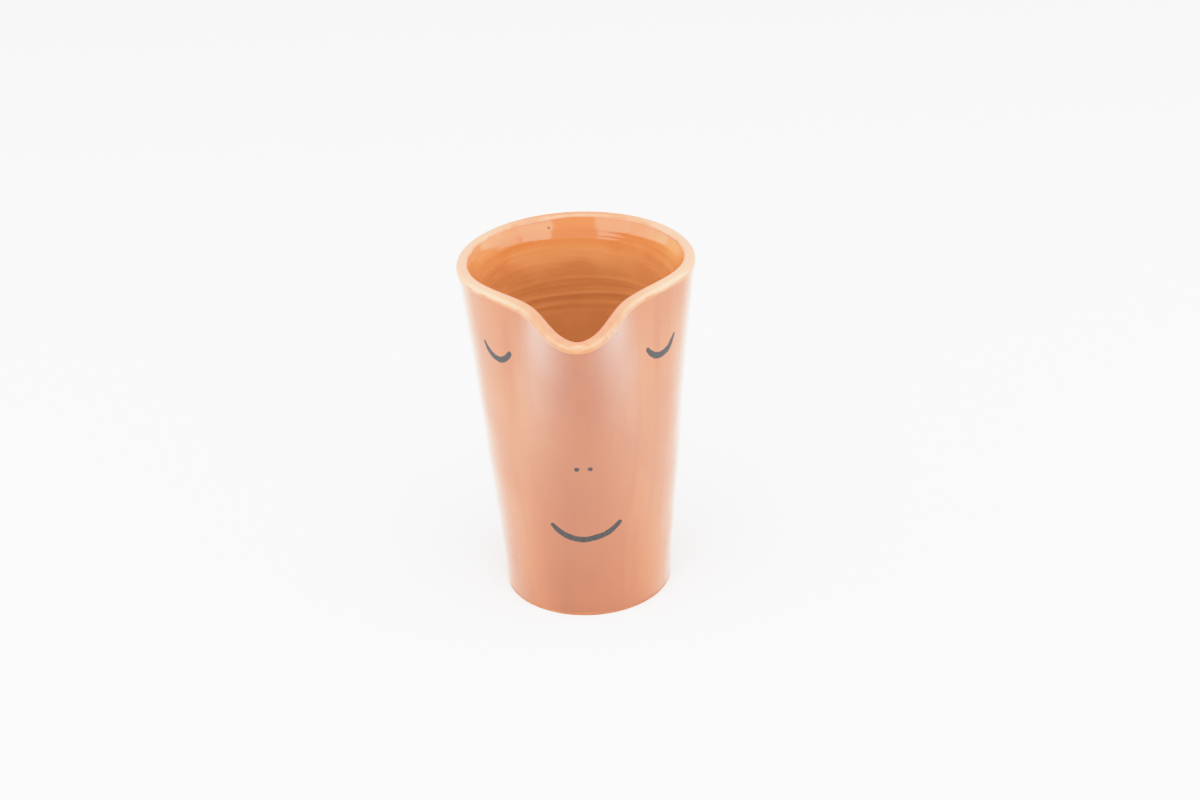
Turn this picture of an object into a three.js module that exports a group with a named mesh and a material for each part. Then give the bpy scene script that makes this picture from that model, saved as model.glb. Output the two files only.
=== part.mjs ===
// A hand-thrown ceramic pitcher without a handle: a tall tapered cup whose lip is pulled out at
// the front into a long spout. Millimetres, +Z up. The origin is the middle of the flat foot, on
// the axis of the potter's wheel, and the spout points along -Y.
//
// The clay wall is described by its middle surface, which is a tapered cup with a ridge pulled out
// at the front and the lip pinched in on both sides of it. Every skin of clay or glaze is that
// middle surface, moved out or in square to the wall, by a distance that stays the same except
// inside the lip, where the wall has a thicker shoulder.
import * as THREE from 'three';

// Whole pitcher
const PITCHER_HEIGHT = 170;
const FOOT_RADIUS = 40.1; // outside of the wall, level with the table
const MOUTH_RADIUS = 56; // outside of the round part of the wall, level with the lip
const WAIST = 0.9; // how far the straight taper pulls in at half height

// Clay section
const WALL = 5.3;
const LIP_RADIUS = 2.95; // the lip is a round bead, a little fatter than the wall
const BAND_START = -27; // degrees on the bead, from its outside over the top, where its glaze starts
const BAND_END = 158; // and where the glaze and the bead end inside
const FLOOR = 7;
const FLOOR_CORNER = 10; // inside radius between floor and wall
const FOOT_BEVEL = 1.2;

// Spout: a ridge that starts low on the front and grows up to the lip
const SPOUT_REACH = 31.2;
const SPOUT_START = 30; // height where the ridge starts
const SPOUT_GROWTH = 1.35; // 1 would be a straight front edge
const SPOUT_WIDTH_AT_LIP = 13.9; // degrees from the spout's middle to its flank
const SPOUT_WIDTH_AT_START = 36.3;
const SPOUT_PEAKEDNESS = 1.8;
const SPOUT_NOSE = 1.7; // degrees over which the ridge line is rounded
const SPOUT_DIP = 3.7; // how far the lip sinks at the spout
const SPOUT_DIP_WIDTH = 22;

// Inside the lip the wall is bevelled and thickest, except at the spout, which is pulled thin
const SHOULDER = 3.2; // extra thickness below the bevel
const SHOULDER_RISE = 8.2; // height over which most of it builds up
const SHOULDER_FADE = 45; // height over which it runs out again below
const SHOULDER_FREE = 40; // degrees either side of the spout that are left thin

// The finger pinches beside the spout, one a little deeper than the other
const PINCHES = [
  { azimuth: -42, depth: 4.3 },
  { azimuth: 46, depth: 6.1 },
];
const PINCH_WIDTH = 31;
const PINCH_START = 60; // height where a pinch starts
const PINCH_GROWTH = 1.5;

// Glaze and paint
const COAT = 0.5; // thickness of each glaze coat
const SEAT = 0.1; // clearance between a coat and the clay that it covers
const BARE_FOOT = 2.2; // the outer coat stops this far above the table
const BAND_GAP = 0.35; // between the lip band and the coats below it
const PAINT = 0.3; // thickness of the brush marks
const PAINT_SEAT = 0.2; // clearance between a brush mark and the faceted glaze under it

// Brush strokes: points that each is drawn through, as azimuth in degrees and height in mm, and the
// stroke's widths at even steps along it
const LEFT_EYE = {
  through: [
    [-58, 143.5],
    [-55.5, 140],
    [-51.5, 137.6],
    [-48, 136.9],
    [-44.3, 137.2],
    [-40, 139.6],
    [-36.5, 143.2],
  ],
  widths: [1, 2.3, 2.8, 3, 3, 2.8, 2.6],
};
const RIGHT_EYE = {
  through: [
    [36.7, 142],
    [40.5, 138.3],
    [45.5, 135.6],
    [50.5, 135],
    [55.5, 136],
    [58.5, 138.5],
    [61.5, 142],
  ],
  widths: [2.3, 2.8, 3.2, 3.3, 3.1, 2.6, 1],
};
const MOUTH = {
  through: [
    [-20.4, 54.8],
    [-16, 50.7],
    [-9.8, 47.5],
    [-2, 46],
    [5.5, 47],
    [12, 48.8],
    [16.4, 51.5],
    [20.4, 55],
  ],
  widths: [2.1, 3, 3.1, 3.1, 3, 2.9, 2.2],
};
const LEFT_NOSTRIL = [-2.9, 90.7];
const RIGHT_NOSTRIL = [2.6, 90.7];
const NOSTRIL_RADIUS = 1.05;
const STROKE_BLUNTNESS = 0.4; // width left at a stroke's very tip, as a share of its full width

// Mesh fineness
const COLUMNS = 60; // sections around the pitcher
const FRONT_CROWDING = 0.5; // 0 spaces them evenly, towards 1 crowds them at the spout
const WALL_ROWS = 11;
const INSIDE_ROWS = 14;
const INSIDE_CROWDING = 1.7; // 1 spaces the rows evenly, more crowds them at the lip
const BEAD_STEPS = 6;
const CORNER_STEPS = 3;
const STROKE_STEPS = 18;
const NOSTRIL_FACETS = 14;
const NUDGE = 0.01; // degrees, for finding which way the wall runs at a point

const HALF_WALL = WALL / 2;
const LIP_CENTRE = PITCHER_HEIGHT - LIP_RADIUS;
const DEGREE = Math.PI / 180;

function ceramic(color, roughness) {
  return new THREE.MeshStandardMaterial({ color, roughness, metalness: 0 });
}

const clayMaterial = ceramic(0xc98a5e, 0.85);
const outerGlazeMaterial = ceramic(0xdc9b7b, 0.25);
const linerGlazeMaterial = ceramic(0xd08546, 0.2);
const lipGlazeMaterial = ceramic(0xf3bd92, 0.22);
const paintMaterial = ceramic(0x5b5d62, 0.45);

// A smooth hump: 1 in the middle, falling to nothing a few widths away.
function hump(distance, width, power = 2) {
  return Math.exp(-((Math.abs(distance) / width) ** power));
}

// How far a feature that starts at one height has grown at another: 0 below, 1 level with the lip.
function growth(height, start, power) {
  const share = (height - start) / (PITCHER_HEIGHT - start);
  return Math.max(share, 0) ** power;
}

function spoutBulge(azimuth, height) {
  const grown = growth(height, SPOUT_START, 1);
  const width = SPOUT_WIDTH_AT_START + (SPOUT_WIDTH_AT_LIP - SPOUT_WIDTH_AT_START) * grown;
  const rounded = Math.hypot(azimuth, SPOUT_NOSE);
  return SPOUT_REACH * grown ** SPOUT_GROWTH * hump(rounded, width, SPOUT_PEAKEDNESS);
}

function pinchDepth(azimuth, height) {
  let depth = 0;
  for (const pinch of PINCHES) {
    depth += pinch.depth * hump(azimuth - pinch.azimuth, PINCH_WIDTH);
  }
  return depth * growth(height, PINCH_START, PINCH_GROWTH);
}

// Distance from the wheel's axis to the middle of the wall; azimuth in degrees, -180 to 180. The
// waist is a parabola, nothing at the foot and the lip and deepest at half height.
function middleRadius(azimuth, height) {
  const share = height / PITCHER_HEIGHT;
  const taper = FOOT_RADIUS + (MOUTH_RADIUS - FOOT_RADIUS) * share;
  const waist = WAIST * (1 - (2 * share - 1) ** 2);
  return taper - waist - HALF_WALL + spoutBulge(azimuth, height) - pinchDepth(azimuth, height);
}

function middlePoint(azimuth, height) {
  const radius = middleRadius(azimuth, height);
  const angle = azimuth * DEGREE;
  return new THREE.Vector3(radius * Math.sin(angle), -radius * Math.cos(angle), height);
}

// A point beside the middle of the wall, moved level and square to it; a positive offset is out.
function wallPoint(azimuth, height, offset) {
  const before = middlePoint(azimuth - NUDGE, height);
  const after = middlePoint(azimuth + NUDGE, height);
  const along = after.sub(before).normalize();
  const outward = new THREE.Vector3(along.y, -along.x, 0);
  return middlePoint(azimuth, height).addScaledVector(outward, offset);
}

function lipHeight(azimuth) {
  return LIP_CENTRE - SPOUT_DIP * hump(azimuth, SPOUT_DIP_WIDTH);
}

// A station is one point of a section. Given an azimuth, it returns where the point lies there.
function onWall(offset, share) {
  return (azimuth) => wallPoint(azimuth, share * lipHeight(azimuth), offset);
}

function onLip(radius, angle) {
  return (azimuth) => {
    const point = wallPoint(azimuth, lipHeight(azimuth), radius * Math.cos(angle * DEGREE));
    point.z += radius * Math.sin(angle * DEGREE);
    return point;
  };
}

function onRing(radius, height) {
  return (azimuth) => {
    const angle = azimuth * DEGREE;
    return new THREE.Vector3(radius * Math.sin(angle), -radius * Math.cos(angle), height);
  };
}

// Distance of the inside surface from the middle of the wall, at a depth below the bead's end.
function insideOffset(azimuth, depth) {
  const room = 1 - hump(azimuth, SHOULDER_FREE);
  const thick = BEAD_END_OFFSET + SHOULDER * Math.tanh(depth / SHOULDER_RISE) * room;
  const fade = THREE.MathUtils.smoothstep(depth, SHOULDER_RISE, SHOULDER_RISE + SHOULDER_FADE);
  return thick + (HALF_WALL - thick) * fade;
}

// Stations down the inside wall from the bead's end to the rounded corner, closest together at the
// lip. An inset gives the same shape that much deeper in the clay.
function insideStations(inset) {
  const stations = [];
  for (let row = 0; row <= INSIDE_ROWS; row += 1) {
    const run = (row / INSIDE_ROWS) ** INSIDE_CROWDING;
    const share = INSIDE_SHARE + (CORNER_SHARE - INSIDE_SHARE) * run;
    stations.push((azimuth) => {
      const height = share * lipHeight(azimuth);
      const depth = lipHeight(azimuth) + BEAD_END_RISE - height;
      return wallPoint(azimuth, height, inset - insideOffset(azimuth, depth));
    });
  }
  return stations;
}

// Stations up the wall at one offset, from one share of the lip's height to another.
function wallStations(offset, from, to) {
  const stations = [];
  for (let row = 0; row <= WALL_ROWS; row += 1) {
    stations.push(onWall(offset, from + ((to - from) * row) / WALL_ROWS));
  }
  return stations;
}

// Stations over the lip bead, from the outside to the inside.
function beadStations(radius) {
  const stations = [];
  for (let step = 0; step <= BEAD_STEPS; step += 1) {
    stations.push(onLip(radius, BAND_START + ((BAND_END - BAND_START) * step) / BEAD_STEPS));
  }
  return stations;
}

// Stations over the rounded inside corner and the floor, from the wall in to the axis. An inset
// gives the same shape that much deeper in the clay.
function floorStations(inset) {
  const cornerHeight = FLOOR + FLOOR_CORNER;
  const innerRadius = middleRadius(180, cornerHeight) - HALF_WALL;
  const stations = [];
  for (let step = 0; step <= CORNER_STEPS; step += 1) {
    const angle = (90 * DEGREE * step) / CORNER_STEPS;
    const reach = FLOOR_CORNER + inset;
    const radius = innerRadius - FLOOR_CORNER + reach * Math.cos(angle);
    stations.push(onRing(radius, cornerHeight - reach * Math.sin(angle)));
  }
  stations.push(onRing(0, FLOOR - inset));
  return stations;
}

// The azimuth of a section; the sections are closest together at the spout.
function columnAzimuth(column) {
  const turn = (column % COLUMNS) / COLUMNS;
  const azimuth = 360 * turn - (FRONT_CROWDING * 180 * Math.sin(2 * Math.PI * turn)) / Math.PI;
  return azimuth > 180 ? azimuth - 360 : azimuth;
}

// Splits every facet along the diagonal that rises towards smaller azimuths, whichever way the
// profile runs, so that skins that lie on each other are faceted alike.
function matchDiagonals(geometry, profile) {
  const rows = profile.length;
  const index = [];
  for (let column = 0; column < COLUMNS; column += 1) {
    for (let row = 0; row < rows - 1; row += 1) {
      const here = column * rows + row;
      const next = here + rows;
      if (profile[row + 1].y < profile[row].y) {
        index.push(here, next, next + 1, here, next + 1, here + 1);
      } else {
        index.push(here, next, here + 1, next + 1, here + 1, next);
      }
    }
  }
  geometry.setIndex(index);
}

// A skin is turned on the wheel as a lathe blank with one ring for each station. Each ring is then
// pushed to its place, which pulls the spout.
function skin(stations) {
  const profile = stations.map((station) => {
    const point = station(180);
    return new THREE.Vector2(Math.max(point.y, 0), point.z);
  });
  const geometry = new THREE.LatheGeometry(profile, COLUMNS);
  matchDiagonals(geometry, profile);
  const position = geometry.attributes.position;
  for (let column = 0; column <= COLUMNS; column += 1) {
    const azimuth = columnAzimuth(column);
    stations.forEach((station, row) => {
      const point = station(azimuth);
      position.setXYZ(column * stations.length + row, point.x, point.y, point.z);
    });
  }
  return geometry;
}

// A coat is a closed shell between its visible face and its back, both listed in the same order.
function coat(face, back) {
  return skin([...face, ...back.slice().reverse(), face[0]]);
}

// Share of the lip's height where a wall coat starts or stops.
const FOOT_SHARE = BARE_FOOT / LIP_CENTRE;
const BAND_SHARE = 1 + (LIP_RADIUS * Math.sin(BAND_START * DEGREE) - BAND_GAP) / LIP_CENTRE;
const BEAD_END_RISE = LIP_RADIUS * Math.sin(BAND_END * DEGREE);
const BEAD_END_OFFSET = -LIP_RADIUS * Math.cos(BAND_END * DEGREE);
const INSIDE_SHARE = 1 + (BEAD_END_RISE - BAND_GAP) / LIP_CENTRE;
const CORNER_SHARE = (FLOOR + FLOOR_CORNER) / LIP_CENTRE;
const BURIED = COAT + SEAT;

// The thrown and fired clay: flat foot, bevelled bare foot edge, wall, lip and inside. It is the
// glazed shape less the coats, except at the bare foot.
function clayBody() {
  const bevelShare = FOOT_BEVEL / LIP_CENTRE;
  const ledgeShare = (BARE_FOOT - BAND_GAP) / LIP_CENTRE;
  return skin([
    onRing(0, 0),
    onRing(FOOT_RADIUS - FOOT_BEVEL, 0),
    onWall(HALF_WALL, bevelShare),
    onWall(HALF_WALL, ledgeShare),
    onWall(HALF_WALL - BURIED, ledgeShare),
    ...wallStations(HALF_WALL - BURIED, FOOT_SHARE, BAND_SHARE),
    ...beadStations(LIP_RADIUS - BURIED),
    ...insideStations(BURIED),
    ...floorStations(BURIED),
  ]);
}

// The rosy glaze over the outside, from above the bare foot to below the lip.
function outerGlaze() {
  return coat(
    wallStations(HALF_WALL, FOOT_SHARE, BAND_SHARE),
    wallStations(HALF_WALL - COAT, FOOT_SHARE, BAND_SHARE),
  );
}

// The pale band where the glaze runs thin over the lip.
function lipGlaze() {
  return coat(beadStations(LIP_RADIUS), beadStations(LIP_RADIUS - COAT));
}

// The amber glaze that was poured inside. It is one sheet from below the lip down over the floor.
function linerGlaze() {
  const face = [...insideStations(0), ...floorStations(0)];
  const back = [...insideStations(COAT), ...floorStations(COAT)];
  return skin([...back.slice().reverse(), ...face]);
}

// Lays a mark on the glaze. The mark is a geometry whose vertices hold an azimuth in x, a height in
// y and a thickness in z.
function layOnGlaze(geometry) {
  const position = geometry.attributes.position;
  for (let index = 0; index < position.count; index += 1) {
    const offset = HALF_WALL + PAINT_SEAT + position.getZ(index);
    const point = wallPoint(position.getX(index), position.getY(index), offset);
    position.setXYZ(index, point.x, point.y, point.z);
  }
  return geometry;
}

// Length of one degree of azimuth along the glaze around a point.
function degreeLength(azimuth, height) {
  return (middleRadius(azimuth, height) + HALF_WALL) * DEGREE;
}

// Width of a stroke along its length, with round ends.
function strokeWidth(widths, share, length) {
  const step = Math.min(Math.floor(share * (widths.length - 1)), widths.length - 2);
  const within = share * (widths.length - 1) - step;
  const full = widths[step] + (widths[step + 1] - widths[step]) * within;
  const tip = share < 0.5 ? widths[0] : widths[widths.length - 1];
  const inward = Math.min((Math.min(share, 1 - share) * length) / (tip / 2), 1);
  const rounding = Math.sqrt(1 - (1 - inward) ** 2);
  return full * (STROKE_BLUNTNESS + (1 - STROKE_BLUNTNESS) * rounding);
}

// A brush stroke is a thin bar, bent along its curve and given the stroke's width.
function brushStroke({ through, widths }) {
  const degree = degreeLength(...through[Math.floor(through.length / 2)]);
  const flat = through.map(([azimuth, height]) => new THREE.Vector2(azimuth * degree, height));
  const curve = new THREE.SplineCurve(flat);
  const length = curve.getLength();
  const geometry = new THREE.BoxGeometry(1, 1, PAINT, STROKE_STEPS, 2, 1);
  const position = geometry.attributes.position;
  for (let index = 0; index < position.count; index += 1) {
    const share = position.getX(index) + 0.5;
    const across = position.getY(index) * strokeWidth(widths, share, length);
    const middle = curve.getPointAt(share);
    const along = curve.getTangentAt(share);
    const azimuth = (middle.x - along.y * across) / degree;
    const height = middle.y + along.x * across;
    position.setXYZ(index, azimuth, height, position.getZ(index) + PAINT / 2);
  }
  return layOnGlaze(geometry);
}

function nostril([azimuth, height]) {
  const degree = degreeLength(azimuth, height);
  const geometry = new THREE.CylinderGeometry(
    NOSTRIL_RADIUS,
    NOSTRIL_RADIUS,
    PAINT,
    NOSTRIL_FACETS,
  );
  geometry.rotateX(Math.PI / 2);
  geometry.translate(0, 0, PAINT / 2);
  geometry.scale(1 / degree, 1, 1);
  geometry.translate(azimuth, height, 0);
  return layOnGlaze(geometry);
}

function piece(name, geometry, material) {
  const mesh = new THREE.Mesh(geometry, material);
  mesh.name = name;
  return mesh;
}

const pitcher = new THREE.Group();
pitcher.add(piece('clay_body', clayBody(), clayMaterial));
pitcher.add(piece('outer_glaze', outerGlaze(), outerGlazeMaterial));
pitcher.add(piece('lip_glaze', lipGlaze(), lipGlazeMaterial));
pitcher.add(piece('liner_glaze', linerGlaze(), linerGlazeMaterial));
pitcher.add(piece('left_eye', brushStroke(LEFT_EYE), paintMaterial));
pitcher.add(piece('right_eye', brushStroke(RIGHT_EYE), paintMaterial));
pitcher.add(piece('left_nostril', nostril(LEFT_NOSTRIL), paintMaterial));
pitcher.add(piece('right_nostril', nostril(RIGHT_NOSTRIL), paintMaterial));
pitcher.add(piece('mouth', brushStroke(MOUTH), paintMaterial));

export default pitcher;
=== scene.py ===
"""A hand-thrown ceramic pitcher with a pulled spout and a brush-painted sleeping face.

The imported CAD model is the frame. Each of its nodes is replaced by a finer piece of the same shape,
with the throwing rings, soft edges and slight unevenness of a pot made by hand. The pitcher's lengths
are in millimetres and its angles in degrees until a mesh is made, which is in metres. An azimuth is
measured from the spout, -Y, towards +X, and a height from the table.
"""
import math

import bpy
import numpy as np
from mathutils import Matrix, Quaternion, Vector


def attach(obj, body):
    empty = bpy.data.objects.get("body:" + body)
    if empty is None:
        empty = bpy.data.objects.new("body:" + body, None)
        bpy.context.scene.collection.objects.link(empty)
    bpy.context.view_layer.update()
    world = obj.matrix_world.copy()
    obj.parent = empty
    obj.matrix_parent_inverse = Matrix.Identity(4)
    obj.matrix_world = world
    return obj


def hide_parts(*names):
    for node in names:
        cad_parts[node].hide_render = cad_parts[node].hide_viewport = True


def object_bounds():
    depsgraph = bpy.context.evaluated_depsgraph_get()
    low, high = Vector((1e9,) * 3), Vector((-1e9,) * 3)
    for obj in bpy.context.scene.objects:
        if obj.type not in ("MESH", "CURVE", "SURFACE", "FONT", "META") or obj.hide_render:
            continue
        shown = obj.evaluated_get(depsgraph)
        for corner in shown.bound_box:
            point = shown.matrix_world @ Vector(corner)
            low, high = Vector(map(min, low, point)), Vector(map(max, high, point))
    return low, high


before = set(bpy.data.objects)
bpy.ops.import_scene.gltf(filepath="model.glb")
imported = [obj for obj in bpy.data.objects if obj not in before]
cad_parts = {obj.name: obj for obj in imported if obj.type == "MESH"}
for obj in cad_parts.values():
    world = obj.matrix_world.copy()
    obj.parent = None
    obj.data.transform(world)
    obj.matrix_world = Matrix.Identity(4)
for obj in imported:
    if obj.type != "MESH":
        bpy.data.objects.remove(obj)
cad_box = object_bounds()

MM = 0.001

# ---------------------------------------------------------------------------------------------
# The pitcher's wall, as the CAD model has it
# ---------------------------------------------------------------------------------------------
PITCHER_HEIGHT = cad_box[1].z / MM
FOOT_RADIUS = 40.1
MOUTH_RADIUS = 56
WAIST = 0.9  # how far the wall is drawn in halfway up
WALL = 5.3
HALF_WALL = WALL / 2
LIP_RADIUS = 2.95
LIP_CENTRE = PITCHER_HEIGHT - LIP_RADIUS
FLOOR = 7
FLOOR_CORNER = 10
FOOT_BEVEL = 1.2

# Inside the lip the wall is bevelled and thickest, except near the spout, which is pulled thin
SHOULDER = 3.2
SHOULDER_RISE = 8.2
SHOULDER_FADE = 45
SHOULDER_FREE = 40

SPOUT_REACH = 31.2
SPOUT_START = 30  # height at which its ridge starts
SPOUT_GROWTH = 1.35
SPOUT_WIDTH_AT_LIP = 13.9  # in degrees, like every width round the pot
SPOUT_WIDTH_AT_START = 36.3
SPOUT_PEAKEDNESS = 1.8
SPOUT_NOSE = 1.7
SPOUT_DIP = 3.7
SPOUT_DIP_WIDTH = 22

PINCHES = ((-42, 4.3), (46, 6.1))  # azimuth and depth of each finger pinch
PINCH_WIDTH = 31
PINCH_START = 60
PINCH_GROWTH = 1.5

# Coats of glaze
COAT = 0.5
SEAT = 0.1  # clearance between a coat and the clay
COAT_ROUND = 0.05  # radius of a coat's rounded edge
COAT_GAP = 0.01  # between the outer coat and the pale band
BARE_FOOT = 2.2
FOOT_RUN = 0.5  # how far the outer coat ran down past its CAD edge
FOOT_WAVER = 0.1875
CLAY_INSET = 0.12  # how far the bare clay stands back from the coat's face
CLAY_TUCK = 0.2  # how far it runs up under the coat
CLAY_STEP = 0.1  # height in which it then steps in behind the coat
BAND_LOWER_EDGE = -22  # degrees up the lip's bead, from its outside, where the pale band starts
BAND_INNER_EDGE = 158  # and where it ends on the inside
BAND_WAVER = 3.125
BEAD_FADE = 60  # degrees up the bead at which the wall's unevenness has faded out

# Mesh fineness
COLUMNS = 384
FRONT_CROWDING = 0.6  # 0 spreads the columns evenly, and more crowds them near the spout
OUTER_ROWS = 150
LIP_ROWS = 30
LINER_ROWS = 190
EDGE_SHARES = [0, 0.0004, 0.0012, 0.003]  # extra rows where the liner meets the pale band
CORNER_STEPS = 12
FLOOR_STEPS = 24
UNDERSIDE_STEPS = 60
BEVEL_ANGLES = [20, 40, 60, 80]
BARE_ROWS = 5
HIDDEN_OUTER_ROWS = 12
HIDDEN_LIP_ROWS = 16
HIDDEN_LINER_ROWS = 24
HIDDEN_FLOOR_STEPS = 6


def hump(distance, width, power=2):
    """1 at no distance, fading to 0 well past the width."""
    return np.exp(-((np.abs(distance) / width) ** power))


def growth(height, start, power):
    """0 up to a start, then rising to 1 at the top of the pitcher."""
    share = (height - start) / (PITCHER_HEIGHT - start)
    return np.maximum(share, 0) ** power


def spout_bulge(azimuth, height):
    grown = growth(height, SPOUT_START, 1)
    width = SPOUT_WIDTH_AT_START + (SPOUT_WIDTH_AT_LIP - SPOUT_WIDTH_AT_START) * grown
    rounded = np.hypot(azimuth, SPOUT_NOSE)
    return SPOUT_REACH * grown**SPOUT_GROWTH * hump(rounded, width, SPOUT_PEAKEDNESS)


def pinch_depth(azimuth, height):
    depth = sum(deepest * hump(azimuth - middle, PINCH_WIDTH) for middle, deepest in PINCHES)
    return depth * growth(height, PINCH_START, PINCH_GROWTH)


def middle_radius(azimuth, height):
    """Distance of the middle of the wall from the axis."""
    share = height / PITCHER_HEIGHT
    taper = FOOT_RADIUS + (MOUTH_RADIUS - FOOT_RADIUS) * share
    waist = WAIST * (1 - (2 * share - 1) ** 2)
    return taper - waist - HALF_WALL + spout_bulge(azimuth, height) - pinch_depth(azimuth, height)


def on_ring(azimuth, radius, height):
    """Points at a distance from the axis. All three may be arrays."""
    azimuth, radius, height = np.broadcast_arrays(azimuth, radius, height)
    angle = np.radians(azimuth)
    return np.stack([radius * np.sin(angle), -radius * np.cos(angle), height], axis=-1)


def wall_point(azimuth, height, offset):
    """Points beside the middle of the wall, moved level and square to it by an offset."""
    nudge = 0.01
    before = on_ring(azimuth - nudge, middle_radius(azimuth - nudge, height), height)
    after = on_ring(azimuth + nudge, middle_radius(azimuth + nudge, height), height)
    along = after - before
    along /= np.linalg.norm(along, axis=-1, keepdims=True)
    outward = np.stack([along[..., 1], -along[..., 0], np.zeros_like(along[..., 0])], axis=-1)
    middle = on_ring(azimuth, middle_radius(azimuth, height), height)
    return middle + outward * np.asarray(offset)[..., None]


def lip_height(azimuth):
    """Height of the centre of the lip's bead."""
    return LIP_CENTRE - SPOUT_DIP * hump(azimuth, SPOUT_DIP_WIDTH)


def bead_point(azimuth, radius, angle):
    """Points round the lip's bead at an angle that rises from its outside over the top."""
    turn = np.radians(angle)
    point = wall_point(azimuth, lip_height(azimuth), radius * np.cos(turn))
    point[..., 2] += radius * np.sin(turn)
    return point


def inside_offset(azimuth, depth):
    """Distance of the inside surface from the middle of the wall, at a depth below the bead's end."""
    room = 1 - hump(azimuth, SHOULDER_FREE)
    end_offset = -LIP_RADIUS * math.cos(math.radians(BAND_INNER_EDGE))
    thick = end_offset + SHOULDER * np.tanh(depth / SHOULDER_RISE) * room
    fade = np.clip((depth - SHOULDER_RISE) / SHOULDER_FADE, 0, 1)
    return thick + (HALF_WALL - thick) * fade * fade * (3 - 2 * fade)


def column_azimuths():
    turn = np.arange(COLUMNS) / COLUMNS
    azimuth = 360 * turn - FRONT_CROWDING * 180 / np.pi * np.sin(2 * np.pi * turn)
    return np.where(azimuth > 180, azimuth - 360, azimuth)


AZIMUTHS = column_azimuths()
LIP_HEIGHTS = lip_height(AZIMUTHS)

# ---------------------------------------------------------------------------------------------
# Unevenness
# ---------------------------------------------------------------------------------------------
rng = np.random.default_rng(5)


class Waves:
    """Fixed random waves over the wall, so that every piece that asks gets the same surface.

    Each part is an amplitude, the most crests round the pot, a height from crest to crest, and how
    many waves it has. A wave closes on itself round the pot.
    """

    def __init__(self, *parts, fewest=0, spread=(0.75, 1.4)):
        self.waves = []
        for amplitude, most, period, count in parts:
            for _ in range(count):
                around = int(rng.integers(fewest, most + 1))
                up = 2 * np.pi / (period * rng.uniform(*spread)) * rng.choice([-1, 1])
                phase = rng.uniform(0, 2 * np.pi)
                self.waves.append((amplitude / math.sqrt(count / 2), around, up, phase))

    def __call__(self, azimuth, height):
        return sum(
            size * np.cos(np.radians(azimuth) * around + up * height + phase)
            for size, around, up, phase in self.waves
        )


def edge_waver(amplitude, most):
    """How far the edge of a coat strays, column by column."""
    return Waves((amplitude, most, 100, 6), fewest=1, spread=(0.8, 1.6))(AZIMUTHS, 0)


# The edges of the coats, one value for each column, which the pieces on both sides share
BAND_LOWER = BAND_LOWER_EDGE + edge_waver(BAND_WAVER, 14)
BAND_INNER = BAND_INNER_EDGE + edge_waver(BAND_WAVER, 12)
FOOT_EDGE = BARE_FOOT - FOOT_RUN + edge_waver(FOOT_WAVER, 11)
BAND_LOWER_HEIGHTS = LIP_HEIGHTS + LIP_RADIUS * np.sin(np.radians(BAND_LOWER))

# Ribs and hollows that the hands left on the wall, as Waves takes them
OUTER_UNEVEN = Waves((0.10, 5, 90, 6), (0.035, 12, 28, 8), (0.005, 1, 6.5, 5), (0.03, 24, 110, 8))
INNER_UNEVEN = Waves((0.12, 4, 60, 5), (0.05, 10, 22, 6))

RING_DRIFT = Waves((0.35, 2, 45, 4))
RING_STRENGTH = Waves((0.45, 3, 30, 7))
RING_PITCH = 6.2
RING_DEPTH = 0.3
RING_LEVEL = 0.6  # a ring's height, of 1, that lies level with the wall
RING_SHARPNESS = 0.8
RING_MEAN_STRENGTH = 0.45
RING_FADE_TOP = 6
RING_FADE_BOTTOM = 12
FINE_RINGS = 2.6  # fine rings to one broad ring
FINE_DRIFT = 1.7  # their drift, to that of the broad rings
FINE_MEAN_STRENGTH = 0.7
FINE_SHARE = 0.3
FINE_SHIFT = 37  # how far above the broad rings' strength theirs is read

SPIRAL_PITCH = 5
SPIRAL_DEPTH = 0.25
SPIRAL_FADE_MIDDLE = 8
SPIRAL_FADE_EDGE = 4

WIRE_PITCH = 2.6
WIRE_DEPTH = 0.22
WIRE_CENTRE = (-55, 20)  # the wire swung round this point
WIRE_TWIST = 0.8
WIRE_TWIST_WIDTH = 7
WIRE_FADE = 4


def outer_surface(azimuth, height):
    """Offset of the outside glaze: a straight wall with slight ribs and hollows left by the hands."""
    return HALF_WALL + OUTER_UNEVEN(azimuth, height)


def throwing_rings(azimuth, height):
    """Finger grooves that spiral up the inside: scallops with soft ridges, and finer ones on them."""
    drift = RING_DRIFT(azimuth, height)
    turns = height / RING_PITCH
    broad = np.abs(np.sin(np.pi * (turns - azimuth / 360 + drift))) ** RING_SHARPNESS
    broad_strength = np.clip(RING_MEAN_STRENGTH + RING_STRENGTH(azimuth, height), 0.08, 1)
    fine = np.abs(np.sin(np.pi * (FINE_RINGS * turns - azimuth / 360 + FINE_DRIFT * drift)))
    fine_waves = RING_STRENGTH(azimuth, height + FINE_SHIFT)
    fine_strength = FINE_SHARE * np.clip(FINE_MEAN_STRENGTH + fine_waves, 0.2, 1.5)
    return broad_strength * (broad - RING_LEVEL) + fine_strength * (fine - RING_LEVEL)


def wire_cut(radius, azimuth):
    """Height of the underside: the curved lines that a twisted wire leaves as it cuts the pot free."""
    angle = np.radians(azimuth)
    x = radius * np.sin(angle)
    y = -radius * np.cos(angle)
    sweep = np.hypot(x - WIRE_CENTRE[0], y - WIRE_CENTRE[1])
    twist = WIRE_TWIST * np.sin(x / WIRE_TWIST_WIDTH)
    lines = 0.5 + 0.5 * np.sin(2 * np.pi * sweep / WIRE_PITCH + twist)
    rim = np.clip((FOOT_RADIUS - FOOT_BEVEL - radius) / WIRE_FADE, 0, 1)
    return WIRE_DEPTH * lines * rim


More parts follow.
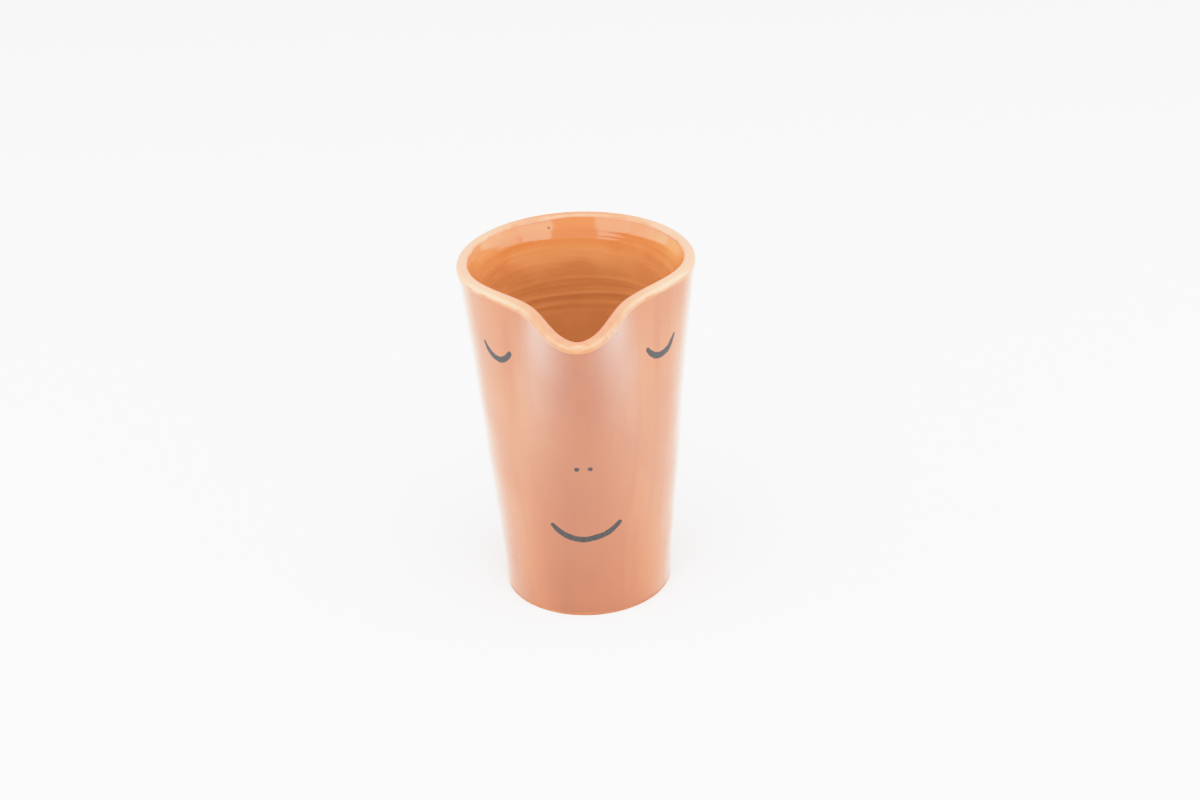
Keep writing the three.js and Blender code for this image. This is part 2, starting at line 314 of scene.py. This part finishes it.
# ---------------------------------------------------------------------------------------------
# Meshes
# ---------------------------------------------------------------------------------------------
def make_object(name, points, faces, attributes=None):
    """An object from points in mm, with a value for each point under each attribute's name."""
    mesh = bpy.data.meshes.new(name)
    mesh.from_pydata((np.asarray(points) * MM).tolist(), [], faces)
    for label, values in (attributes or {}).items():
        mesh.attributes.new(label, "FLOAT", "POINT").data.foreach_set("value", values)
    mesh.shade_smooth()
    mesh.update()
    piece = bpy.data.objects.new(name, mesh)
    bpy.context.scene.collection.objects.link(piece)
    return piece


def ring_faces(rows, columns, closed):
    """Quads between rows of points round the pot; closed also joins the last row to the first."""
    faces = []
    for row in range(rows if closed else rows - 1):
        low = row * columns
        high = (row + 1) % rows * columns
        for column in range(columns):
            right = (column + 1) % columns
            faces.append((low + column, low + right, high + right, high + column))
    return faces


def loop_object(name, rows, attributes=None):
    """A closed shell whose rows of points run once round its section."""
    count, columns = rows.shape[:2]
    values = {label: grid.ravel() for label, grid in (attributes or {}).items()}
    return make_object(name, rows.reshape(-1, 3), ring_faces(count, columns, closed=True), values)


def capped_object(name, rows, first_tip, last_tip, attributes=None):
    """A closed body whose rows start and end round two points, where the attributes are 0."""
    count, columns = rows.shape[:2]
    faces = ring_faces(count, columns, closed=False)
    first = count * columns
    last = first + 1
    last_row = first - columns
    for column in range(columns):
        right = (column + 1) % columns
        faces.append((first, right, column))
        faces.append((last, last_row + column, last_row + right))
    points = np.concatenate([rows.reshape(-1, 3), [first_tip, last_tip]])
    values = {label: np.append(grid.ravel(), [0, 0]) for label, grid in (attributes or {}).items()}
    return make_object(name, points, faces, values)


def strip_object(name, top, under, edge):
    """A closed thin body between two grids of points of the same size."""
    steps, across = top.shape[:2]
    count = steps * across
    faces = []
    for step in range(steps - 1):
        for column in range(across - 1):
            near = step * across + column
            far = near + across
            faces.append((near, far, far + 1, near + 1))
            faces.append((count + near, count + near + 1, count + far + 1, count + far))
    last_row = count - across
    rim = [step * across for step in range(steps)]
    rim += [last_row + column for column in range(1, across)]
    rim += [step * across + across - 1 for step in range(steps - 2, -1, -1)]
    rim += list(range(across - 2, 0, -1))
    for here, there in zip(rim, rim[1:] + rim[:1]):
        faces.append((there, here, count + here, count + there))
    points = np.concatenate([top.reshape(-1, 3), under.reshape(-1, 3)])
    return make_object(name, points, faces, {"edge": np.concatenate([edge.ravel(), edge.ravel()])})


def edge_rounding(distance):
    """How far a coat's face sinks at a distance from its edge, for a rounded edge."""
    inside = np.clip(distance / COAT_ROUND, 0, 1)
    return COAT_ROUND * (1 - np.sqrt(1 - (1 - inside) ** 2))


def crowded_shares(span, count):
    """Shares of a span from one edge to the other, as a column, with extra rows in the rounded edges."""
    edge = np.array([0, 0.08, 0.25, 0.5, 1]) * COAT_ROUND
    middle = np.linspace(2 * COAT_ROUND, span - 2 * COAT_ROUND, count)
    return np.concatenate([edge, middle, span - edge[::-1]])[:, None] / span


def even_shares(count):
    """Shares from 0 to 1, as a column."""
    return np.linspace(0, 1, count)[:, None]


# ---------------------------------------------------------------------------------------------
# Clay and coats
# ---------------------------------------------------------------------------------------------
def outer_glaze():
    low = FOOT_EDGE
    high = BAND_LOWER_HEIGHTS - COAT_GAP
    height = low + (high - low) * crowded_shares(high.mean() - low.mean(), OUTER_ROWS)
    sink = edge_rounding(height - low) + edge_rounding(high - height)
    face = wall_point(AZIMUTHS, height, outer_surface(AZIMUTHS, height) - sink)
    back_height = high + (low - high) * even_shares(HIDDEN_OUTER_ROWS)
    back = wall_point(AZIMUTHS, back_height, HALF_WALL - COAT)
    return loop_object("outer_glaze_coat", np.concatenate([face, back]))


def lip_glaze():
    low = BAND_LOWER
    high = BAND_INNER
    band_width = math.radians(BAND_INNER_EDGE - BAND_LOWER_EDGE) * LIP_RADIUS
    angle = low + (high - low) * crowded_shares(band_width, LIP_ROWS)
    from_lower = np.radians(angle - low) * LIP_RADIUS
    from_inner = np.radians(high - angle) * LIP_RADIUS
    outside = np.clip(1 - angle / BEAD_FADE, 0, 1)
    sink = edge_rounding(from_lower) + edge_rounding(from_inner)
    face = bead_point(AZIMUTHS, LIP_RADIUS + outside * OUTER_UNEVEN(AZIMUTHS, LIP_HEIGHTS) - sink, angle)
    back_angle = high + (low - high) * even_shares(HIDDEN_LIP_ROWS)
    back = bead_point(AZIMUTHS, LIP_RADIUS - COAT, back_angle)
    hidden = np.zeros(back_angle.shape)
    edges = {
        "from_lower_edge": np.concatenate([from_lower, hidden + from_lower[-1]]),
        "from_inner_edge": np.concatenate([from_inner, hidden]),
    }
    return loop_object("lip_glaze_band", np.concatenate([face, back]), edges)


def inside_wall_rows(count, grow=0.0, rings=1):
    """Rows of the inside wall from the band down to the floor's corner, their ring relief and depth.

    Rows that are grown into the clay, without rings, are the hidden faces behind the liner's own.
    """
    slope = np.sin(np.radians(BAND_INNER))
    bead_end = LIP_HEIGHTS + LIP_RADIUS * slope
    top = bead_end - grow * slope
    bottom = FLOOR + FLOOR_CORNER
    shares = np.concatenate([EDGE_SHARES, np.linspace(2 * EDGE_SHARES[-1], 1, count)])[:, None]
    height = top + (bottom - top) * shares
    fade_top = np.clip((LIP_HEIGHTS - height) / RING_FADE_TOP, 0, 1)
    fade_bottom = np.clip((height - bottom) / RING_FADE_BOTTOM, 0, 1)
    relief = rings * throwing_rings(AZIMUTHS, height) * fade_top
    uneven = INNER_UNEVEN(AZIMUTHS, height) * fade_top
    inward = inside_offset(AZIMUTHS, bead_end - height)
    offset = grow - inward + (RING_DEPTH * relief + uneven) * fade_bottom
    return wall_point(AZIMUTHS, height, offset), relief, top - height


def floor_rows(floor_steps, grow=0.0, spiral_depth=0.0):
    """Rows over the rounded corner and the floor, and the floor's middle."""
    corner_height = FLOOR + FLOOR_CORNER
    flat_radius = middle_radius(180, corner_height) - HALF_WALL - FLOOR_CORNER
    angle = np.linspace(0, math.pi / 2, CORNER_STEPS)[1:, None]
    reach = FLOOR_CORNER + grow
    corner = on_ring(AZIMUTHS, flat_radius + reach * np.cos(angle), corner_height - reach * np.sin(angle))
    radius = np.linspace(flat_radius, 0, floor_steps + 1)[1:-1, None]
    spiral = np.sin(2 * np.pi * (radius / SPIRAL_PITCH - AZIMUTHS / 360))
    fade_middle = np.clip(radius / SPIRAL_FADE_MIDDLE, 0, 1)
    fade_edge = np.clip((flat_radius - radius) / SPIRAL_FADE_EDGE, 0, 1)
    floor = on_ring(AZIMUTHS, radius, FLOOR - grow + spiral_depth * spiral * fade_middle * fade_edge)
    return np.concatenate([corner, floor]), (0, 0, FLOOR - grow)


def liner_glaze():
    wall, relief, depth = inside_wall_rows(LINER_ROWS)
    floor, floor_tip = floor_rows(FLOOR_STEPS, spiral_depth=SPIRAL_DEPTH)
    back_wall, _, _ = inside_wall_rows(HIDDEN_LINER_ROWS, grow=COAT, rings=0)
    back_floor, back_tip = floor_rows(HIDDEN_FLOOR_STEPS, grow=COAT)
    rows = np.concatenate([back_floor[::-1], back_wall[::-1], wall, floor])
    behind = np.zeros((len(back_floor) + len(back_wall), COLUMNS))
    below = np.zeros((len(floor), COLUMNS))
    attributes = {
        "relief": np.concatenate([behind, relief, below + relief[-1]]),
        "depth": np.concatenate([behind, depth, below + depth[-1]]),
    }
    return capped_object("liner_glaze_coat", rows, back_tip, floor_tip, attributes)


def clay_body():
    buried = COAT + SEAT
    flat_radius = FOOT_RADIUS - FOOT_BEVEL
    under_radius = np.linspace(0, flat_radius, UNDERSIDE_STEPS)[1:, None]
    underside = on_ring(AZIMUTHS, under_radius, wire_cut(under_radius, AZIMUTHS))
    bevel_angle = np.radians(BEVEL_ANGLES)[:, None]
    bevel_radius = flat_radius + FOOT_BEVEL * np.sin(bevel_angle)
    bevel = on_ring(AZIMUTHS, bevel_radius, FOOT_BEVEL * (1 - np.cos(bevel_angle)))
    bare_top = FOOT_EDGE + CLAY_TUCK
    bare_height = FOOT_BEVEL + (bare_top - FOOT_BEVEL) * even_shares(BARE_ROWS)
    bare_offset = HALF_WALL - CLAY_INSET + OUTER_UNEVEN(AZIMUTHS, bare_height) / 2
    bare = wall_point(AZIMUTHS, bare_height, bare_offset)
    hidden_bottom = bare_top + CLAY_STEP
    hidden_height = hidden_bottom + (BAND_LOWER_HEIGHTS - hidden_bottom) * even_shares(HIDDEN_OUTER_ROWS)
    hidden = wall_point(AZIMUTHS, hidden_height, HALF_WALL - buried)
    bead_angle = BAND_LOWER + (BAND_INNER - BAND_LOWER) * even_shares(HIDDEN_LIP_ROWS)
    bead = bead_point(AZIMUTHS, LIP_RADIUS - buried, bead_angle)
    inner_wall, _, _ = inside_wall_rows(HIDDEN_LINER_ROWS, grow=buried, rings=0)
    inner_floor, inner_tip = floor_rows(HIDDEN_FLOOR_STEPS, grow=buried)
    rows = np.concatenate([underside, bevel, bare, hidden, bead, inner_wall, inner_floor])
    return capped_object("thrown_clay_body", rows, (0, 0, 0), inner_tip)


# ---------------------------------------------------------------------------------------------
# Brush marks
# ---------------------------------------------------------------------------------------------
PAINT_RISE = 0.045  # of a mark's middle over the coat
PAINT_EDGE_SINK = 0.02
PAINT_SINK = 0.1
SMALLEST_TIP = 0.12
THINNEST_TIP = 0.2
KNOT_STEPS = 40  # from one knot of a curve to the next
STROKE_STEPS = 90
STROKE_ACROSS = 15
STROKE_SMOOTHING = 13  # steps over which its widths are smoothed
DOT_RINGS = 10
DOT_SECTORS = 36
DOT_STRETCH = 1.25

# A stroke's node, the phase of its wobble, its path as azimuths and heights, and its widths in even
# steps from end to end
STROKES = (
    (
        "left_eye",
        13,
        ((-58, 143.5), (-55.5, 140), (-51.5, 137.6), (-48, 136.9), (-44.3, 137.2), (-40, 139.6),
         (-36.5, 143.2)),
        (1.2, 2.8, 3.1, 3.1, 3.1, 2.9, 2.6),
    ),
    (
        "right_eye",
        14,
        ((36.7, 142), (40.5, 138.3), (45.5, 135.6), (50.5, 135), (55.5, 136), (58.5, 138.5),
         (61.5, 142)),
        (2.2, 2.8, 3.3, 3.4, 3.4, 3.0, 1.3),
    ),
    (
        "mouth",
        10,
        ((-20.4, 54.8), (-16, 50.7), (-9.8, 47.5), (-2, 46), (5.5, 47), (12, 48.8), (16.4, 51.5),
         (20.4, 55)),
        (2.4, 3.6, 3.6, 3.6, 3.5, 3.4, 2.6),
    ),
)

# A dot's node, azimuth, height, radius and the phase of its uneven outline
DOTS = (
    ("left_nostril", -2.9, 90.7, 1.1, 0.4),
    ("right_nostril", 2.6, 90.7, 1.05, 2.1),
)


def smooth_path(knots, count):
    """Points at even steps along a Catmull-Rom curve through the knots, and the curve's length."""
    knots = np.asarray(knots, float)
    before_first = 2 * knots[0] - knots[1]
    after_last = 2 * knots[-1] - knots[-2]
    guides = np.concatenate([[before_first], knots, [after_last]])
    share = np.linspace(0, 1, KNOT_STEPS, endpoint=False)[:, None]
    spans = []
    for before, start, end, after in zip(guides, guides[1:], guides[2:], guides[3:]):
        slope = end - before
        bend = 2 * before - 5 * start + 4 * end - after
        twist = 3 * start - before - 3 * end + after
        spans.append(0.5 * (2 * start + slope * share + bend * share**2 + twist * share**3))
    points = np.concatenate(spans + [knots[-1:]])
    run = np.concatenate([[0], np.cumsum(np.linalg.norm(np.diff(points, axis=0), axis=1))])
    even = np.linspace(0, run[-1], count)
    return np.stack([np.interp(even, run, points[:, side]) for side in (0, 1)], axis=1), run[-1]


def degree_length(azimuth, height):
    """Length of one degree of azimuth along the outside."""
    return math.radians(1) * (middle_radius(azimuth, height) + HALF_WALL)


def paint_points(azimuth, height, dome):
    """Points on a mark's domed top, and those under them, which are sunk into the coat."""
    coat = outer_surface(azimuth, height)
    top = wall_point(azimuth, height, coat - PAINT_EDGE_SINK + (PAINT_RISE + PAINT_EDGE_SINK) * dome)
    return top, wall_point(azimuth, height, coat - PAINT_SINK)


def stroke_half_widths(share, length, widths, phase):
    """Half the stroke's width, with a slight wobble and round ends, and how full it is, 0 at its tips."""
    width = np.interp(share, np.linspace(0, 1, len(widths)), widths)
    window = np.hanning(STROKE_SMOOTHING)
    padded = np.pad(width, STROKE_SMOOTHING // 2, mode="edge")
    width = np.convolve(padded, window / window.sum(), "valid")
    tip_radius = np.where(share < 0.5, widths[0], widths[-1]) / 2
    from_tip = np.clip(np.minimum(share, 1 - share) * length / tip_radius, 0, 1)
    fullness = np.sqrt(np.clip(1 - (1 - from_tip) ** 2, 0, 1))
    wobble = 1 + 0.035 * np.sin(37 * share + phase) + 0.03 * np.sin(83 * share + 2 * phase)
    return width / 2 * np.maximum(fullness, SMALLEST_TIP) * wobble, fullness


def brush_stroke(name, phase, knots, widths):
    """A stroke of pigment: a thin domed island that follows the coat."""
    degree = degree_length(np.mean([azimuth for azimuth, _ in knots]), knots[0][1])
    path, length = smooth_path([(azimuth * degree, height) for azimuth, height in knots], STROKE_STEPS)
    half, fullness = stroke_half_widths(np.linspace(0, 1, STROKE_STEPS), length, widths, phase)
    along = np.gradient(path, axis=0)
    along /= np.linalg.norm(along, axis=1, keepdims=True)
    side = np.stack([-along[:, 1], along[:, 0]], axis=1)
    across = np.sin(np.linspace(-math.pi / 2, math.pi / 2, STROKE_ACROSS))
    grid = path[:, None, :] + side[:, None, :] * (half[:, None] * across)[..., None]
    azimuth = grid[..., 0] / degree
    height = grid[..., 1]
    dome = np.sqrt(np.clip(1 - np.abs(across) ** 3, 0, 1))
    dome = dome * np.maximum(fullness, THINNEST_TIP)[:, None]
    top, under = paint_points(azimuth, height, dome)
    return strip_object(name, top, under, np.broadcast_to(np.abs(across), azimuth.shape))


def brush_dot(name, azimuth, height, radius, phase):
    """A round dot of pigment, slightly uneven and a little taller than wide."""
    share = np.sin(np.linspace(0, math.pi / 2, DOT_RINGS + 1))[1:, None]
    turn = np.linspace(0, 2 * math.pi, DOT_SECTORS, endpoint=False)
    outline = radius * (1 + 0.08 * np.sin(2 * turn + phase) + 0.05 * np.sin(3 * turn + 2 * phase))
    azimuths = azimuth + share * outline * np.cos(turn) / degree_length(azimuth, height)
    heights = height + share * outline * DOT_STRETCH * np.sin(turn)
    top, under = paint_points(azimuths, heights, np.sqrt(np.clip(1 - share**3, 0, 1)))
    top_middle, under_middle = paint_points(azimuth, height, 1)
    edge = np.broadcast_to(share, azimuths.shape)
    rows = np.concatenate([top, under[::-1]])
    edges = {"edge": np.concatenate([edge, edge[::-1]])}
    return capped_object(name, rows, top_middle, under_middle, edges)


# ---------------------------------------------------------------------------------------------
# Materials
# ---------------------------------------------------------------------------------------------
# Places of the colour sockets on a Mix node, which share their names with other sockets
MIX_FIRST = 6
MIX_SECOND = 7
MIX_RESULT = 2

SPECK_OUTSIDE = (13.6, 161.0, HALF_WALL, 0.75)  # azimuth, height, offset and radius
SPECK_INSIDE = (-164.8, 164.6, -3.5, 0.85)


def srgb(red, green, blue):
    """A display colour, 0 to 255, as linear light."""
    def linear(value):
        value /= 255
        return value / 12.92 if value <= 0.04045 else ((value + 0.055) / 1.055) ** 2.4
    return (linear(red), linear(green), linear(blue), 1)


class Nodes:
    """A material's node tree, with short calls for what the materials share."""

    def __init__(self, name):
        self.material = bpy.data.materials.new(name)
        self.material.use_nodes = True
        self.tree = self.material.node_tree
        self.shader = self.tree.nodes["Principled BSDF"]
        self.coordinates = self.add("ShaderNodeTexCoord").outputs["Object"]

    def add(self, kind, settings=None, **inputs):
        node = self.tree.nodes.new(kind)
        for key, value in (settings or {}).items():
            setattr(node, key, value)
        for key, value in inputs.items():
            self.set(node.inputs[key.replace("_", " ")], value)
        return node

    def set(self, socket, value):
        if isinstance(value, bpy.types.NodeSocket):
            self.tree.links.new(value, socket)
        else:
            socket.default_value = value

    def put(self, **inputs):
        for key, value in inputs.items():
            self.set(self.shader.inputs[key.replace("_", " ")], value)

    def math(self, operation, first, second=0.0):
        node = self.add("ShaderNodeMath", {"operation": operation})
        self.set(node.inputs[0], first)
        self.set(node.inputs[1], second)
        return node.outputs[0]

    def axis(self, name):
        return self.add("ShaderNodeSeparateXYZ", Vector=self.coordinates).outputs[name]

    def attribute(self, name):
        return self.add("ShaderNodeAttribute", {"attribute_name": name}).outputs["Fac"]

    def noise(self, size, detail, stretch=(1, 1, 1), roughness=0.5):
        """Noise with features of a size in mm, stretched along the axes."""
        mapping = self.add("ShaderNodeMapping", {"vector_type": "POINT"}, Vector=self.coordinates)
        mapping.inputs["Scale"].default_value = [1 / (size * MM * share) for share in stretch]
        node = self.add("ShaderNodeTexNoise", Vector=mapping.outputs[0], Scale=1.0, Detail=detail,
                        Roughness=roughness, Distortion=0.0)
        return node.outputs["Fac"]

    def ramp(self, value, low, high, start=0.0, end=1.0):
        """A smooth step from start to end as the value goes from low to high."""
        node = self.add("ShaderNodeMapRange", {"interpolation_type": "SMOOTHSTEP"}, Value=value,
                        From_Min=low, From_Max=high, To_Min=start, To_Max=end)
        return node.outputs["Result"]

    def mix(self, share, first, second):
        """The first colour, with a share of the second."""
        node = self.add("ShaderNodeMix", {"data_type": "RGBA"}, Factor=share)
        self.set(node.inputs[MIX_FIRST], first)
        self.set(node.inputs[MIX_SECOND], second)
        return node.outputs[MIX_RESULT]

    def bump(self, height, distance):
        """Relief of a distance in mm between the lowest and the highest."""
        node = self.add("ShaderNodeBump", Height=height, Distance=distance * MM, Strength=1.0)
        return node.outputs["Normal"]

    def speck(self, azimuth, height, offset, radius, strength):
        """The strength within a small round speck on the wall, and 0 outside it."""
        gap = self.add("ShaderNodeVectorMath", {"operation": "DISTANCE"})
        self.set(gap.inputs[0], self.coordinates)
        gap.inputs[1].default_value = Vector(wall_point(azimuth, height, offset)) * MM
        return self.ramp(gap.outputs["Value"], radius * MM * 0.6, radius * MM * 1.3, strength, 0)


def finish_glaze(nodes, colour, roughness, bump, coat=1.0, coat_roughness=0.08):
    """A clear glassy surface over a colour."""
    nodes.put(Base_Color=colour, Roughness=roughness, IOR=1.52, Coat_Weight=coat,
              Coat_Roughness=coat_roughness, Coat_IOR=1.5, Normal=bump, Coat_Normal=bump)
    return nodes.material


def outer_glaze_material():
    """Rose and peach clouds with amber streaks that ran down, darker at the front by the spout and
    lighter towards the sides, which is painted light.
    """
    nodes = Nodes("rosy_glaze")
    cloud = nodes.noise(38, 2, (1, 1, 1.6))
    streak = nodes.noise(7, 2, (1, 1, 16))
    band = nodes.noise(30, 2, (3, 3, 0.35))
    fleck = nodes.noise(1.1, 2, (1, 1, 1.4))
    # Painted light: the glaze is mixed lighter towards the sides and darker at the front, where the side
    # light and reflections fall on it.
    painted_side_light = nodes.ramp(nodes.math("ABSOLUTE", nodes.axis("X")), 6 * MM, 34 * MM)
    rose = nodes.mix(painted_side_light, srgb(152, 85, 46), srgb(171, 100, 56))
    peach = nodes.mix(painted_side_light, srgb(159, 92, 52), srgb(178, 108, 62))
    amber = srgb(160, 91, 48)
    pale = srgb(186, 126, 94)
    iron = srgb(60, 50, 48)
    colour = nodes.mix(nodes.ramp(cloud, 0.35, 0.65), rose, peach)
    colour = nodes.mix(nodes.ramp(streak, 0.42, 0.7, 0, 0.5), colour, amber)
    colour = nodes.mix(nodes.ramp(band, 0.5, 0.8, 0, 0.3), colour, rose)
    colour = nodes.mix(nodes.ramp(fleck, 0.62, 0.8, 0, 0.12), colour, pale)
    colour = nodes.mix(nodes.speck(*SPECK_OUTSIDE, 0.85), colour, iron)
    roughness = nodes.ramp(cloud, 0.3, 0.7, 0.16, 0.24)
    relief = nodes.math("ADD", nodes.math("MULTIPLY", streak, 0.6), nodes.math("MULTIPLY", fleck, 0.25))
    return finish_glaze(nodes, colour, roughness, nodes.bump(relief, 0.03))


def lip_glaze_material():
    """Cream, paler towards the sides as a painted highlight, with an amber edge where it meets each of
    the other coats.
    """
    nodes = Nodes("pale_lip_glaze")
    waver = nodes.noise(5, 2)
    shift = nodes.math("MULTIPLY", nodes.math("SUBTRACT", waver, 0.5), 2.4)
    from_lower = nodes.math("ADD", nodes.attribute("from_lower_edge"), shift)
    from_inner = nodes.math("ADD", nodes.attribute("from_inner_edge"), shift)
    # Painted highlight: the band is mixed paler towards the sides.
    painted_side_light = nodes.ramp(nodes.math("ABSOLUTE", nodes.axis("X")), 14 * MM, 42 * MM)
    back = nodes.ramp(nodes.axis("Y"), 30 * MM, 50 * MM, 0, 0.3)
    pale = srgb(225, 160, 132)
    amber = srgb(196, 120, 72)
    warm = srgb(204, 132, 88)
    cream = nodes.mix(nodes.ramp(waver, 0.35, 0.65), srgb(210, 132, 98), srgb(216, 140, 106))
    colour = nodes.mix(painted_side_light, cream, pale)
    colour = nodes.mix(nodes.ramp(from_lower, 0.8, 2.3, 1, 0), colour, amber)
    colour = nodes.mix(nodes.ramp(from_inner, 0.1, 1.3, 0.8, 0), colour, amber)
    colour = nodes.mix(back, colour, warm)
    return finish_glaze(nodes, colour, 0.3, nodes.bump(waver, 0.02), coat=0.6, coat_roughness=0.22)


def liner_glaze_material():
    """Amber, lighter on the rings' ridges and down inside, and darker just under the lip at the back,
    which is painted shade.
    """
    nodes = Nodes("amber_liner_glaze")
    relief = nodes.attribute("relief")
    depth = nodes.attribute("depth")
    cloud = nodes.noise(26, 2)
    brushed = nodes.noise(2.2, 3, (9, 9, 1), 0.6)
    back = nodes.ramp(nodes.axis("Y"), 20 * MM, 42 * MM)
    # Painted shade: the upper wall at the back, which catches the most light, is mixed darker just under
    # the lip.
    painted_shade_under_lip = nodes.math("MULTIPLY", nodes.ramp(depth, 6, 16, 0.85, 0), back)
    groove = srgb(194, 118, 64)
    thin = srgb(230, 164, 108)
    honey = srgb(224, 160, 98)
    # The darker amber of the painted shade under the lip.
    thick = srgb(196, 114, 55)
    iron = srgb(90, 44, 26)
    colour = nodes.mix(nodes.ramp(cloud, 0.35, 0.65), srgb(216, 147, 92), srgb(204, 131, 77))
    colour = nodes.mix(nodes.ramp(relief, 0.0, 0.4, 0, 0.35), colour, groove)
    colour = nodes.mix(nodes.ramp(brushed, 0.45, 0.75, 0, 0.3), colour, thin)
    colour = nodes.mix(nodes.ramp(depth, 14, 40, 0, 0.45), colour, honey)
    colour = nodes.mix(painted_shade_under_lip, colour, thick)
    colour = nodes.mix(nodes.speck(*SPECK_INSIDE, 0.8), colour, iron)
    return finish_glaze(nodes, colour, 0.14, nodes.bump(brushed, 0.03), coat=0.4)


def clay_material():
    """Dry fired clay, grainy to the touch."""
    nodes = Nodes("bare_clay")
    grain = nodes.noise(0.5, 4, roughness=0.7)
    cloud = nodes.noise(16, 3)
    dark_grain = srgb(160, 94, 60)
    colour = nodes.mix(nodes.ramp(cloud, 0.3, 0.7), srgb(178, 112, 76), srgb(190, 124, 86))
    colour = nodes.mix(nodes.ramp(grain, 0.55, 0.75, 0, 0.5), colour, dark_grain)
    nodes.put(Base_Color=colour, Roughness=nodes.ramp(grain, 0.3, 0.7, 0.75, 0.95),
              Normal=nodes.bump(grain, 0.12))
    return nodes.material


def paint_material():
    """Slate pigment, a little thinner and warmer at the edge of a mark."""
    nodes = Nodes("slate_underglaze")
    cloud = nodes.noise(1.6, 3)
    thin = srgb(92, 76, 70)
    colour = nodes.mix(nodes.ramp(cloud, 0.35, 0.7), srgb(46, 43, 43), srgb(55, 51, 50))
    colour = nodes.mix(nodes.ramp(nodes.attribute("edge"), 0.8, 1.0, 0, 0.15), colour, thin)
    nodes.put(Base_Color=colour, Roughness=nodes.ramp(cloud, 0.3, 0.7, 0.25, 0.4), IOR=1.5,
              Coat_Weight=0.2, Coat_Roughness=0.1, Coat_IOR=1.5, Normal=nodes.bump(cloud, 0.02))
    return nodes.material


# ---------------------------------------------------------------------------------------------
# Studio, in metres
# ---------------------------------------------------------------------------------------------
CAMERA_AIM = Vector((0.00856, 0, 0.09548))
CAMERA_DISTANCE = 1.1081
CAMERA_PITCH = 28.03
CAMERA_ROLL = -2.22

STUDIO_RADIUS = 6
STUDIO_SECTORS = 96
STUDIO_WHITE = 0.9
ROOM_BRIGHTNESS = 0.9
PANELS_AIM = Vector((0, 0, 0.16))

# A softbox's name, azimuth, elevation, distance, width, height and the brightness of its face
PANELS = (
    ("left_softbox", -42, 20, 1.8, 1.25, 1.2, 2.1),
    ("right_softbox", 44, 20, 1.8, 1.2, 1.2, 2.3),
    ("left_wing", -76, 20, 1.8, 0.85, 1.2, 1.75),
    ("right_wing", 78, 20, 1.8, 0.85, 1.2, 1.7),
    ("left_far_wing", -102, 20, 1.8, 0.85, 1.2, 1.35),
    ("right_far_wing", 104, 20, 1.8, 0.85, 1.2, 1.4),
    ("overhead_softbox", 0, 66, 1.7, 1.6, 1.6, 2.6),
)

# The camera's response: light from the scene, and how bright it shows
BRIGHTEST = 2.5
RESPONSE = ((0.3, 0.3), (0.6, 0.6), (0.8, 0.775), (1.0, 0.88), (1.3, 0.935), (1.7, 0.965))


def place(thing, aim, away, distance, roll=0.0):
    """Stands a camera or light at a distance from a point and turns it to look at that point."""
    bpy.context.scene.collection.objects.link(thing)
    thing.location = aim + away * distance
    thing.rotation_mode = "QUATERNION"
    level = (-away).to_track_quat("-Z", "Y")
    thing.rotation_quaternion = level @ Quaternion((0, 0, 1), math.radians(roll))


def direction(azimuth, elevation):
    """The way out from the pitcher at an azimuth and an elevation."""
    turn = math.radians(azimuth)
    tilt = math.radians(elevation)
    return Vector((math.sin(turn) * math.cos(tilt), -math.cos(turn) * math.cos(tilt), math.sin(tilt)))


def make_camera():
    data = bpy.data.cameras.new("photo_camera")
    data.lens = 70
    data.sensor_width = 36
    data.clip_end = 20
    camera = bpy.data.objects.new("photo_camera", data)
    place(camera, CAMERA_AIM, direction(0, CAMERA_PITCH), CAMERA_DISTANCE, CAMERA_ROLL)
    bpy.context.scene.camera = camera


def make_floor():
    azimuths = np.arange(STUDIO_SECTORS) * 360 / STUDIO_SECTORS
    points = on_ring(azimuths, STUDIO_RADIUS / MM, 0)
    floor = make_object("studio_floor", points, [tuple(range(STUDIO_SECTORS))])
    nodes = Nodes("studio_white")
    nodes.put(Base_Color=(STUDIO_WHITE,) * 3 + (1,), Roughness=0.9, Specular_IOR_Level=0.0)
    floor.data.materials.append(nodes.material)


def make_panel(name, azimuth, elevation, distance, width, height, brightness):
    """A softbox that faces the pitcher's lip."""
    data = bpy.data.lights.new(name, "AREA")
    data.shape = "RECTANGLE"
    data.size = width
    data.size_y = height
    data.energy = brightness * math.pi * width * height
    light = bpy.data.objects.new(name, data)
    place(light, PANELS_AIM, direction(azimuth, elevation), distance)
    light.visible_camera = False


def make_room():
    world = bpy.data.worlds.new("studio_room")
    world.use_nodes = True
    background = world.node_tree.nodes["Background"]
    background.inputs["Color"].default_value = (1, 1, 1, 1)
    background.inputs["Strength"].default_value = ROOM_BRIGHTNESS
    bpy.context.scene.world = world


def set_response():
    """True up to the middle tones, then a soft shoulder into a bright white room."""
    view = bpy.context.scene.view_settings
    view.view_transform = "Standard"
    view.use_curve_mapping = True
    curves = view.curve_mapping
    curves.white_level = (BRIGHTEST,) * 3
    curves.extend = "HORIZONTAL"
    curve = curves.curves[3]
    for light, shown in RESPONSE:
        curve.points.new(light / BRIGHTEST, shown)
    for point in curve.points:
        point.handle_type = "AUTO"
    curves.update()


# ---------------------------------------------------------------------------------------------
# The whole
# ---------------------------------------------------------------------------------------------
def install(piece, node, material):
    """The piece rides on the pitcher and stands for its CAD node."""
    piece.data.materials.append(material)
    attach(piece, "root")
    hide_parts(node)


make_camera()
make_floor()
make_room()
for panel in PANELS:
    make_panel(*panel)
set_response()

install(clay_body(), "clay_body", clay_material())
install(outer_glaze(), "outer_glaze", outer_glaze_material())
install(lip_glaze(), "lip_glaze", lip_glaze_material())
install(liner_glaze(), "liner_glaze", liner_glaze_material())

paint = paint_material()
for node, *stroke in STROKES:
    install(brush_stroke(node + "_mark", *stroke), node, paint)
for node, *dot in DOTS:
    install(brush_dot(node + "_dot", *dot), node, paint)
